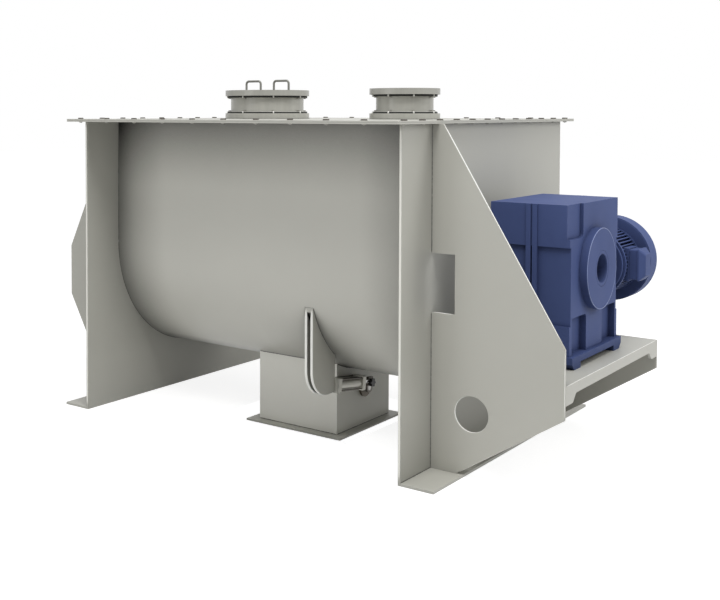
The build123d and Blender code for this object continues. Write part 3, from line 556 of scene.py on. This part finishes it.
edges = [gusset_edge((gusset_top_x, rim_low_z), (reach_x - proud, slant_top), Y),
         gusset_edge((reach_x - proud, slant_low), (gusset_foot_x, foot_top), Y)]
front_x = reach_x - corner_r
edges.append(corner_edge((front_x, gusset_out, slant_low), (front_x, gusset_out, slant_top), X))
window_path = [(drive_x, window_low), (window_right, window_low),
               (window_right, window_high), (drive_x, window_high)]
edges += [gusset_edge(a, b, -Y) for a, b in zip(window_path[:-1], window_path[1:])]
edges.append(carried(ring(hole_middle, hole_r, X, Z, hole_steps), Y, proud, half_gusset, closed=True))
print("gusset edges", len(edges))

# %% Edges of the other plates
upright_edges = []
for node in ("drive_end_plate", "idle_end_plate"):
    low, high = corners(node)
    middle_x, half_t = (low[0] + high[0]) / 2, (high[0] - low[0]) / 2 - edge_inset
    for y in (-high[1], high[1]):
        path = line((middle_x, y, foot_top), (middle_x, y, rim_low_z), edge_step)
        upright_edges.append(carried(path, X, upright_proud, half_t))
deck_edge = [(deck_high[0] - corner_r, y, deck_high[2]) for y in (deck_low[1], deck_high[1])]
edges.append(corner_edge(*deck_edge, Z))
box_edge = [(box_high[0], box_low[1], z) for z in (flange_top, box_seam_z)]
edges.append(corner_edge(*box_edge, X))
# Near-white strips: a painted highlight along the plates' edges.
plate_edges = closed_object("plate_edges", *joined(edges), finishes["edge_painted_highlight"])
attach(plate_edges, "frame")
# The end plates' upright edges take the near-white copy of the grey as a softer painted highlight.
end_plate_edges = closed_object("end_plate_edges", *joined(upright_edges), finishes["pale_painted_light"])
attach(end_plate_edges, "frame")
print("edges", len(edges) + len(upright_edges))


# %% [markdown]
# The two cheeks of the cylinder's bracket are stiffened by a rolled rim down their front, round the bend
# and back. A rounder oval is carried along that path, in near-white as a painted highlight. The rim could
# be swept in the solid model as well, but here it costs only one more path.

# %% Rolled rims of the bracket
rim_high, rim_wide, rim_step = 0.0040, 0.0070, 0.02
rim_top_gap = 0.003
bend_r, bend_steps = 0.130, 24
bend_y, bend_z = cheek_low[1] + bend_r, cheek_low[2] + bend_r
bend = np.linspace(np.pi, 1.5 * np.pi, bend_steps)[1:-1]
rims = []
for x in (cheek_low[0] + rim_wide, cheek_high[0] - rim_wide):
    down = line((x, cheek_low[1], cheek_high[2] - rim_top_gap), (x, cheek_low[1], bend_z), rim_step)
    turn = np.stack([np.full(len(bend), x), bend_y + bend_r * np.cos(bend),
                     bend_z + bend_r * np.sin(bend)], axis=1)
    back = line((x, bend_y, cheek_low[2]), (x, cheek_high[1], cheek_low[2]), rim_step)
    rims.append(carried(np.concatenate([down, turn, back]), X, rim_high, rim_wide, sides=12))
bracket_rims = closed_object("bracket_rims", *joined(rims), finishes["edge_painted_highlight"])
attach(bracket_rims, "frame")
print("rolled rims", len(rims))


# %% [markdown]
# The gearbox's boss is turned after casting. A thin round ring of pale blue set into its outer corner is
# a painted highlight, the bright line where that corner catches the light.

# %% Painted highlight ring on the gearbox's boss
boss_x = corners("gearbox_housing")[1][0]
boss_r, ring_inset, ring_depth, ring_r = 0.180, 0.002, 0.0010, 0.0014
ring_steps = 128
boss_ring = ring((boss_x - ring_depth, 0.0, axis_z), boss_r - ring_inset, Y, Z, ring_steps)
gear_edges = closed_object("gear_edges", *carried(boss_ring, X, ring_r, ring_r, closed=True),
                           finishes["pale_blue_and_painted_highlight"])
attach(gear_edges, "frame")
print("ring radius", round(boss_r - ring_inset, 3))


# %% [markdown]
# The lid is held by a row of flat flanged bolts. A real head is a hexagon with its
# corners turned off, on a thin round flange. In polar form its radius is the smaller of
# the hexagon's and a cone's, so the whole head is one surface of turn and height. The
# nut below is made in the same way. The plain CAD bolts are shown by these instead.

# %% Bolt surfaces
bolt_turns = 24


def hexagon(turn, across):
    """Radius of a hexagon that measures that much across its flats: a / 2 cos(fold)."""
    fold = (turn + np.pi / 6) % (np.pi / 3) - np.pi / 6
    return across / 2 / np.cos(fold)


def turned(levels, across=1.0):
    """Surface from (height, widest radius, whether hexagonal) levels, bottom to top. Only
    hexagonal levels use the size across the flats."""
    turn = np.linspace(0, 2 * np.pi, bolt_turns, endpoint=False)
    height = np.array([level[0] for level in levels])[:, None] + 0 * turn
    limit = np.array([level[1] for level in levels])[:, None] + 0 * turn
    hexed = np.array([level[2] for level in levels])[:, None]
    radius = np.where(hexed, np.minimum(limit, hexagon(turn, across)[None, :]), limit)
    points = np.stack([radius * np.cos(turn), radius * np.sin(turn), height], axis=-1)
    return points.reshape(-1, 3), grid_quads(len(levels), bolt_turns, round_v=True)


def head_levels(flange_r, flange_h, across, top):
    """Levels of a flanged hexagon head with its upper corners turned off."""
    flat = across / 2
    corner = flat / math.cos(math.pi / 6)
    bevel = 0.12 * across / 2
    rim_h, rim_r = 0.6 * flange_h, 0.94 * flange_r
    shoulder, edge_r, face_r = top - 0.4 * bevel, flat - 0.3 * bevel, 0.82 * flat
    return [(0, 0, 0), (0, flange_r, 0), (rim_h, flange_r, 0), (flange_h, rim_r, 0),
            (flange_h, corner, 1), (shoulder, corner, 1), (top, edge_r, 1), (top, face_r, 0), (top, 0, 0)]


def repeat(shape, places):
    """Copies of one shape at each place, as one (points, quads) pair."""
    points, quads = shape
    moved = points[None, :, :] + np.array(places)[:, None, :]
    shifted = quads[None, :, :] + (np.arange(len(places)) * len(points))[:, None, None]
    return moved.reshape(-1, 3), shifted.reshape(-1, 4)


print("corner of a 24 mm hexagon", round(float(hexagon(np.pi / 6, 0.024)), 4))


# %% [markdown]
# The bolts stand evenly along the four sides of the lid. Their places come from the box of
# the plain bolts, whose heads measure 26 mm across their flats. Each place gets a head on
# the lid, a nut under the rim, and the end of the thread below the nut.

# %% Places of the lid bolts
lid_top = corners("lid_plate")[1][2]
bolts_low, bolts_high = corners("lid_bolts")
cad_head_half = 0.013
row_y = bolts_high[1] - cad_head_half
head_corner = cad_head_half / math.cos(math.pi / 6)
row_x0, row_x1 = bolts_low[0] + head_corner, bolts_high[0] - head_corner
long_count, short_count = 11, 12
long_row = np.linspace(row_x0, row_x1, long_count)
short_row = np.linspace(-row_y, row_y, short_count)[1:-1]
bolt_places = [(x, side * row_y, lid_top) for x in long_row for side in sides]
bolt_places += [(x, y, lid_top) for y in short_row for x in (row_x0, row_x1)]
stack = lid_top - rim_low_z
print("lid bolts", len(bolt_places), "through", round(stack, 4))

# %% Heads, nuts and thread ends
def hung(shape):
    """A bolt surface turned upside down, under the rim instead of over the lid."""
    points, quads = shape
    return points * (1, 1, -1) - (0, 0, stack), quads


head_across, nut_across = 0.024, 0.017
head_shape = head_levels(flange_r=0.0149, flange_h=0.0020, across=head_across, top=0.006)
nut_shape = head_levels(flange_r=0.0098, flange_h=0.0008, across=nut_across, top=0.004)
head, nut = turned(head_shape, head_across), hung(turned(nut_shape, nut_across))
tail_r, tail_tip_r, tail_straight, tail_end = 0.005, 0.0038, 0.0050, 0.0062
tail = hung(turned([(0, 0, 0), (0, tail_r, 0), (tail_straight, tail_r, 0),
                    (tail_end, tail_tip_r, 0), (tail_end, 0, 0)]))
lid_bolt_heads = closed_object("lid_bolt_heads", *repeat(head, bolt_places),
                               finishes["dark_bolt"], smooth=False)
hanging = joined([repeat(shape, bolt_places) for shape in (nut, tail)])
lid_bolt_nuts = closed_object("lid_bolt_nuts", *hanging, finishes["body_paint"], smooth=False)
for piece in (lid_bolt_heads, lid_bolt_nuts):
    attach(piece, "frame")
    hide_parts("lid_bolts")
print("head", head_across, "and nut", nut_across, "across their flats")


# %% [markdown]
# Each nozzle is closed with rubber rings whose lip wraps the collar's rim, so a dark band shows under the
# cover and over the pad. The band's near-black is partly the rubber and partly painted shade, for the
# shade that falls under the cover and over the pad. Small bright clips hold it at every bolt; their
# near-white is partly a painted highlight. The band is a closed profile spun about the nozzle's axis, so
# it needs no caps.

# %% Seals of the nozzles
def spun(profile, centre, count):
    """A closed (radius, height) profile spun about an upright axis: r cos a, r sin a, h."""
    profile = np.array(profile)
    angle = np.linspace(0, 2 * np.pi, count, endpoint=False)[:, None]
    radius, height = profile[:, 0], profile[:, 1]
    points = np.stack([centre[0] + radius * np.cos(angle), centre[1] + radius * np.sin(angle),
                       height + 0 * angle], axis=-1)
    return points.reshape(-1, 3), grid_quads(count, len(profile), round_u=True, round_v=True)


seal_t, collar_t, lip = 0.006, 0.004, 0.0025
skin, pad_cover = 0.0002, 0.001
seal_steps, clip_count = 128, 8
seals, clip_places = [], []
for nozzle in ("manhole", "inlet"):
    pad_top = corners(nozzle + "_pad")[1][2]
    cover_low = corners(nozzle + "_cover")[0][2]
    neck_low, neck_high = corners(nozzle + "_neck")
    centre, collar_r = (neck_low + neck_high) / 2, (neck_high[1] - neck_low[1]) / 2
    inner, out = collar_r + skin, collar_r + lip
    pad_band = (pad_top + skin, pad_top + seal_t + pad_cover)
    cover_band = (cover_low - seal_t - collar_t, cover_low - skin)
    for z0, z1 in (pad_band, cover_band):
        seals.append(spun([(inner, z0), (out, z0), (out, z1), (inner, z1)], centre, seal_steps))
        spots = ring((centre[0], centre[1], (z0 + z1) / 2), out, X, Y, clip_count)
        clip_places += [tuple(spot) for spot in spots]
# The near-black of these rings is partly the rubber and partly painted shade.
nozzle_seals = closed_object("nozzle_seals", *joined(seals), finishes["gasket"])
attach(nozzle_seals, "frame")

clip_over, clip_r = 0.0015, 0.0038
clip_h = (seal_t + collar_t) / 2 + clip_over
clip = turned([(-clip_h, 0, 0), (-clip_h, clip_r, 0), (clip_h, clip_r, 0), (clip_h, 0, 0)])
# The clips' near-white is partly a painted highlight.
seal_clips = closed_object("seal_clips", *repeat(clip, clip_places), finishes["bright_clip"])
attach(seal_clips, "frame")
print("seals", len(seals), "clips", len(clip_places))


# %% [markdown]
# The motor's frame is a tube with a crown of thin cooling fins between two end flanges,
# and a flat pad for the terminal box. Seen along the motor's axis the outline has one
# radius for each angle, so it is one surface of angle and length, where separate fins
# would be many pieces. The radius is the larger of a toothed wave and the pad's rectangle
# in polar form.

# %% Motor frame
fin_count = 56
tube_r, fin_tip_r, flange_r, flange_t = 0.128, 0.158, 0.1605, 0.014
pad_inset, pad_over, pad_ahead = 0.0005, 0.002, 0.004
frame_low, frame_high = corners("motor_frame")
motor_axis = (frame_low + frame_high) / 2
terminal_low, terminal_high = corners("terminal_box")
pitch = 2 * np.pi / fin_count
tooth = np.array([0.00, 0.08, 0.38, 0.46])
fin_angle = (pitch * (np.arange(fin_count)[:, None] + tooth)).ravel()
finned = np.tile([tube_r, fin_tip_r, fin_tip_r, tube_r], fin_count)
pad_x = frame_high[0] - motor_axis[0] - pad_inset
pad_half = (terminal_high[2] - terminal_low[2]) / 2 + pad_over
with np.errstate(divide="ignore"):
    pad_edge = np.minimum(pad_x / np.cos(fin_angle), pad_half / np.abs(np.sin(fin_angle)))
padded = np.maximum(finned, np.where(np.cos(fin_angle) > 0, pad_edge, 0))
disc = np.full(len(fin_angle), flange_r)
y0, y1 = frame_low[1], frame_high[1]
pad_y0, pad_y1 = terminal_low[1] - pad_ahead, terminal_high[1] + pad_ahead
rows = [(y0, 0 * disc), (y0, disc), (y0 + flange_t, disc), (y0 + flange_t, finned),
        (pad_y0, finned), (pad_y0, padded), (pad_y1, padded), (pad_y1, finned),
        (y1 - flange_t, finned), (y1 - flange_t, disc), (y1, disc), (y1, 0 * disc)]
frame_points = np.concatenate([
    np.stack([motor_axis[0] + radius * np.cos(fin_angle), np.full(len(radius), y),
              motor_axis[2] + radius * np.sin(fin_angle)], axis=1) for y, radius in rows])
frame_quads = grid_quads(len(rows), len(fin_angle), round_v=True)
finned_frame = closed_object("finned_frame", frame_points, frame_quads,
                             finishes["drive_paint"], smooth=False)
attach(finned_frame, "frame")
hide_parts("motor_frame")
print("motor frame faces", len(finned_frame.data.polygons))


# %% [markdown]
# The terminal box is a cast lid on a cast body. The lid slopes in all round to a smaller
# face. Both are a rounded rectangle carried out along X, changing its size from level to
# level. Four round-headed screws hold the lid's face, each a low dome.

# %% Terminal box
def rounded_rectangle(half_a, half_b, corner_r, steps=5):
    """Corner arcs in turn: a point is the corner's centre plus r (cos a, sin a)."""
    angle = np.linspace(0, np.pi / 2, steps)
    arcs = []
    for k, (sa, sb) in enumerate([(1, 1), (-1, 1), (-1, -1), (1, -1)]):
        turn = angle + k * np.pi / 2
        arcs.append(np.stack([sa * (half_a - corner_r) + corner_r * np.cos(turn),
                              sb * (half_b - corner_r) + corner_r * np.sin(turn)], axis=1))
    return np.concatenate(arcs)


x_out = terminal_high[0]
half_w, half_h = (terminal_high[1:] - terminal_low[1:]) / 2
box_middle = (terminal_low + terminal_high) / 2
body_w, body_h, body_corner = half_w - 0.004, half_h - 0.004, 0.006
lid_x, slope_x, lid_corner = x_out - 0.034, x_out - 0.026, 0.008
face_w, face_h, face_corner = half_w - 0.020, half_h - 0.025, 0.010
point, point_corner = 0.001, 0.0004
box_levels = [(terminal_low[0], point, point, point_corner),
              (terminal_low[0], body_w, body_h, body_corner), (lid_x, body_w, body_h, body_corner),
              (lid_x, half_w, half_h, lid_corner), (slope_x, half_w, half_h, lid_corner),
              (x_out, face_w, face_h, face_corner), (x_out, point, point, point_corner)]
outline = []
for x, a, b, corner in box_levels:
    rectangle = rounded_rectangle(a, b, corner) + box_middle[1:]
    outline.append(np.column_stack([np.full(len(rectangle), x), rectangle]))
box_quads = grid_quads(len(box_levels), len(outline[0]), round_v=True)
cast_terminal_box = closed_object("cast_terminal_box", np.concatenate(outline), box_quads,
                                  finishes["drive_paint"], smooth=False)
print("terminal box", round(2 * half_w, 3), "by", round(2 * half_h, 3))

# %% Screws of the terminal box
screw_r, screw_root, dome_share, dome_steps = 0.004, 0.001, 0.5, 5
screw_x = x_out - 0.0022
dome = [(dome_share * screw_r * math.sin(a), screw_r * math.cos(a), 0)
        for a in np.linspace(0, np.pi / 2, dome_steps)]
screw_points, screw_quads = turned([(-screw_root, 0, 0), (-screw_root, screw_r, 0)] + dome)
screw = (screw_points[:, [2, 0, 1]], screw_quads)
screw_w, screw_h = half_w - 0.030, half_h - 0.035
screw_places = [(screw_x, box_middle[1] + a * screw_w, box_middle[2] + b * screw_h)
                for a in sides for b in sides]
# The terminal box's screw heads are painted the same pale blue as the highlight ring.
terminal_screws = closed_object("terminal_screws", *repeat(screw, screw_places), finishes["pale_blue_and_painted_highlight"])
for piece in (cast_terminal_box, terminal_screws):
    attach(piece, "frame")
    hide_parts("terminal_box")
print("screws", len(screw_places))


# %% [markdown]
# The outlet reaches a little below the feet, so the real machine stands over an opening.
# The studio's floor is white paper. Through the Light Path node it shows as nearly white
# to the eye and in reflections, and still takes a soft shadow, while the light that it
# throws back up at the machine is set apart from that. One plain white paper would
# either look grey or flood the underside with light.

# %% Floor paper
def seen_directly(tree):
    """1 where a ray from the camera, a mirror or a glass meets the surface, else 0."""
    path = tree.nodes.new("ShaderNodeLightPath")
    total = path.outputs["Is Camera Ray"]
    for other in ("Is Glossy Ray", "Is Transmission Ray"):
        add = tree.nodes.new("ShaderNodeMath")
        add.operation = "ADD"
        add.use_clamp = True
        tree.links.new(total, add.inputs[0])
        tree.links.new(path.outputs[other], add.inputs[1])
        total = add.outputs["Value"]
    return total


def paper_material(name, bounce, glow, tint):
    """Paper that shows as glow + tint * light, and throws bounce * light back up."""
    material = bpy.data.materials.new(name)
    material.use_nodes = True
    tree = material.node_tree
    tree.nodes.clear()
    out = tree.nodes.new("ShaderNodeOutputMaterial")
    lit = tree.nodes.new("ShaderNodeBsdfDiffuse")
    lit.inputs["Color"].default_value = (tint, tint, tint, 1.0)
    dim = tree.nodes.new("ShaderNodeBsdfDiffuse")
    dim.inputs["Color"].default_value = (bounce, bounce, bounce, 1.0)
    lamp = tree.nodes.new("ShaderNodeEmission")
    lamp.inputs["Color"].default_value = (1.0, 1.0, 1.0, 1.0)
    lamp.inputs["Strength"].default_value = glow
    shown = tree.nodes.new("ShaderNodeAddShader")
    tree.links.new(lit.outputs["BSDF"], shown.inputs[0])
    tree.links.new(lamp.outputs["Emission"], shown.inputs[1])
    choice = tree.nodes.new("ShaderNodeMixShader")
    tree.links.new(seen_directly(tree), choice.inputs["Fac"])
    tree.links.new(dim.outputs["BSDF"], choice.inputs[1])
    tree.links.new(shown.outputs["Shader"], choice.inputs[2])
    tree.links.new(choice.outputs["Shader"], out.inputs["Surface"])
    return material


floor_papers = [paper_material("studio_paper", bounce=0.78, glow=0.84, tint=0.42),
                paper_material("pit_paper", bounce=0.9, glow=0.96, tint=0.42)]
print("papers", len(floor_papers))


# %% [markdown]
# The floor is made of nested rectangles, just under the feet: its far edge, the rim of the
# opening, and the bottom of a shallow pit, with quads between each and the next. The pit
# has a brighter paper of its own, because less light gets down there.

# %% Floor with its opening
floor_reach = 30.0
floor_drop = 0.001
pit_depth = 0.4
pit_low = (-0.43, -0.50)
pit_high = (0.34, 0.34)


def nested_rings(rings):
    """Quads between rectangles: each ring is (x0, y0, x1, y1, z), four corners in order."""
    points = np.array([[(x0, y0, z), (x1, y0, z), (x1, y1, z), (x0, y1, z)]
                       for x0, y0, x1, y1, z in rings]).reshape(-1, 3)
    k = np.arange(4)
    quads = [np.stack([4 * i + k, 4 * i + (k + 1) % 4, 4 * i + 4 + (k + 1) % 4, 4 * i + 4 + k], axis=1)
             for i in range(len(rings) - 1)]
    last = 4 * (len(rings) - 1)
    return points, np.concatenate(quads + [np.array([[last, last + 1, last + 2, last + 3]])])


floor_z = feet_z - floor_drop
pit = (*pit_low, *pit_high)
points, quads = nested_rings([(-floor_reach, -floor_reach, floor_reach, floor_reach, floor_z),
                              (*pit, floor_z), (*pit, floor_z - pit_depth)])
floor_mesh = bpy.data.meshes.new("studio_floor")
floor_mesh.from_pydata(points.tolist(), [], quads.tolist())
floor = bpy.data.objects.new("studio_floor", floor_mesh)
for paper in floor_papers:
    floor_mesh.materials.append(paper)
in_pit = np.arange(len(quads)) > 3
floor_mesh.polygons.foreach_set("material_index", in_pit.astype(int))
scene.collection.objects.link(floor)
print("floor at", round(floor_z, 3))


# %% [markdown]
# The light is that of a white studio. Much of it is a bright sky all round, which makes the soft shade
# under the lid, deepened there by painted shade in the trough's paint. A big lamp high in front lights
# the lid and the long side, one on the right lights the end plate and the gear motor, and a weak one low
# in front fills the shade under the trough. Large lamps are chosen for their soft shadows.

# %% Sky
def sky(strength):
    """A world that lights gently, and shows as white to the eye and in gloss."""
    world = bpy.data.worlds.new("white_studio")
    world.use_nodes = True
    tree = world.node_tree
    tree.nodes.clear()
    out = tree.nodes.new("ShaderNodeOutputWorld")
    ambient = tree.nodes.new("ShaderNodeBackground")
    ambient.inputs["Color"].default_value = (1.0, 1.0, 1.0, 1.0)
    ambient.inputs["Strength"].default_value = strength
    white = tree.nodes.new("ShaderNodeBackground")
    white.inputs["Color"].default_value = (1.0, 1.0, 1.0, 1.0)
    white.inputs["Strength"].default_value = 1.0
    mix = tree.nodes.new("ShaderNodeMixShader")
    tree.links.new(seen_directly(tree), mix.inputs["Fac"])
    tree.links.new(ambient.outputs["Background"], mix.inputs[1])
    tree.links.new(white.outputs["Background"], mix.inputs[2])
    tree.links.new(mix.outputs["Shader"], out.inputs["Surface"])
    return world


scene.world = sky(0.42)
print("sky", scene.world.name)

# %% Lamps
lamp_size = 3.0


def softbox(name, spot, aim, size, power):
    """A square lamp at spot that faces aim."""
    data = bpy.data.lights.new(name, "AREA")
    data.size = size
    data.energy = power
    lamp = bpy.data.objects.new(name, data)
    lamp.location = spot
    gaze = np.array(aim) - np.array(spot)
    flat = math.hypot(gaze[0], gaze[1])
    lamp.rotation_euler = (math.atan2(flat, -gaze[2]), 0.0, math.atan2(-gaze[0], gaze[1]))
    scene.collection.objects.link(lamp)
    return lamp


lamps = [softbox("key_lamp", (2.0, -2.6, 7.0), (0.2, 0.0, 0.8), lamp_size, 300.0),
         softbox("right_lamp", (6.0, 2.8, 4.4), (0.3, 0.0, 0.8), lamp_size, 135.0),
         softbox("front_lamp", (-2.5, -7.0, 0.9), (0.0, 0.0, 0.6), lamp_size, 60.0)]
print("lamps", len(lamps))


# %% [markdown]
# At the end the colour view is set to Standard.

# %% Colour view
scene.view_settings.view_transform = "Standard"
